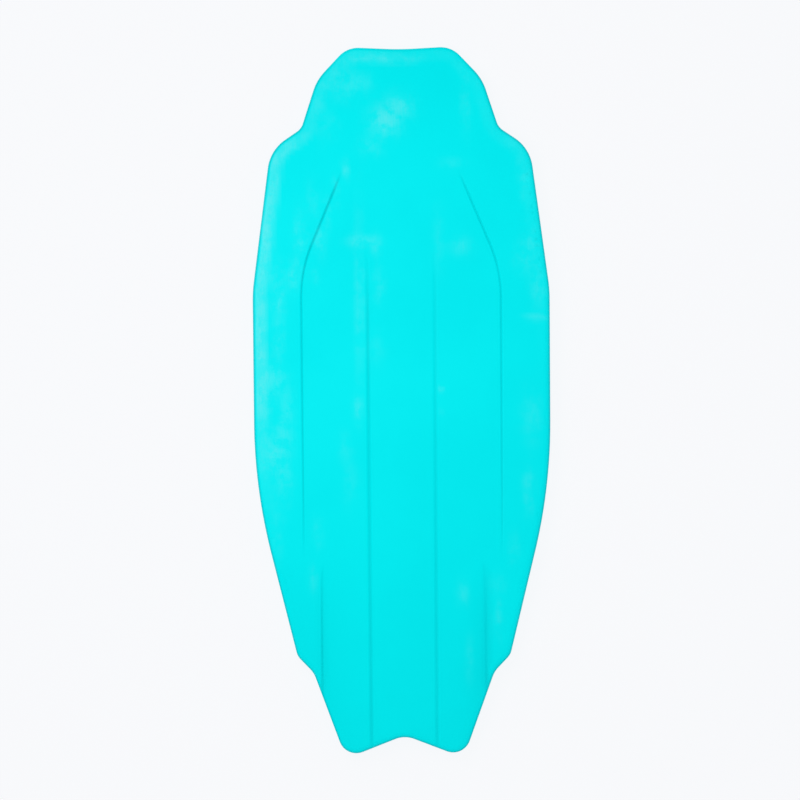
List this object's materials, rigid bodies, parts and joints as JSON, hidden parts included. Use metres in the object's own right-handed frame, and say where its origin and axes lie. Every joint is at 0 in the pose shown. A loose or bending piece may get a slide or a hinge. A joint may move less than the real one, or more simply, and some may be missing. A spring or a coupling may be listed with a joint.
{
  "type": "bodyboard",
  "caption": "Foam bodyboard with a smooth channelled slick, notched nose, winged swallow tail, inner stringers and a deck leash cup.",
  "frame": {"origin": "middle of the flat deck face, half way along and half way across the board", "axes": "+Z out of the slick, +Y towards the nose, +X across the board; stored lying on its deck"},
  "size_m": [0.5126, 1.2195, 0.056],
  "materials": {
    "slick_plastic": "smooth semi-gloss moulded polyethylene, faintly hazed and scuffed",
    "rail_foam": "skinned closed-cell foam, fine leathery grain",
    "deck_foam": "embossed closed-cell foam with a fine pebble grip texture",
    "core_foam": "matt beaded foam",
    "backing_foam": "matt cut foam sheet",
    "mesh_plastic": "woven plastic mesh",
    "stringer_composite": "pultruded fibre tube, satin",
    "plug_foam": "matt foam plug",
    "cup_nylon": "moulded nylon, satin",
    "stainless_steel": "brushed stainless steel"
  },
  "bodies": {
    "root": {"bottom_slick": "slick_plastic", "slick_backing": "backing_foam", "reinforcement_mesh": "mesh_plastic", "foam_core": "core_foam", "deck_skin": "deck_foam", "rail_strip_left": "rail_foam", "rail_strip_right": "rail_foam", "chine_strip_left": "rail_foam", "chine_strip_right": "rail_foam", "nose_strip": "rail_foam", "tail_strip": "rail_foam", "nose_chine_strip": "rail_foam", "tail_chine_strip": "rail_foam", "stringer_tube_left": "stringer_composite", "stringer_tube_right": "stringer_composite", "stringer_plug_left": "plug_foam", "stringer_plug_right": "plug_foam", "leash_cup": "cup_nylon", "leash_pin": "stainless_steel", "leash_anchor_disc": "cup_nylon", "leash_anchor_screw": "stainless_steel"}
  },
  "joints": []
}
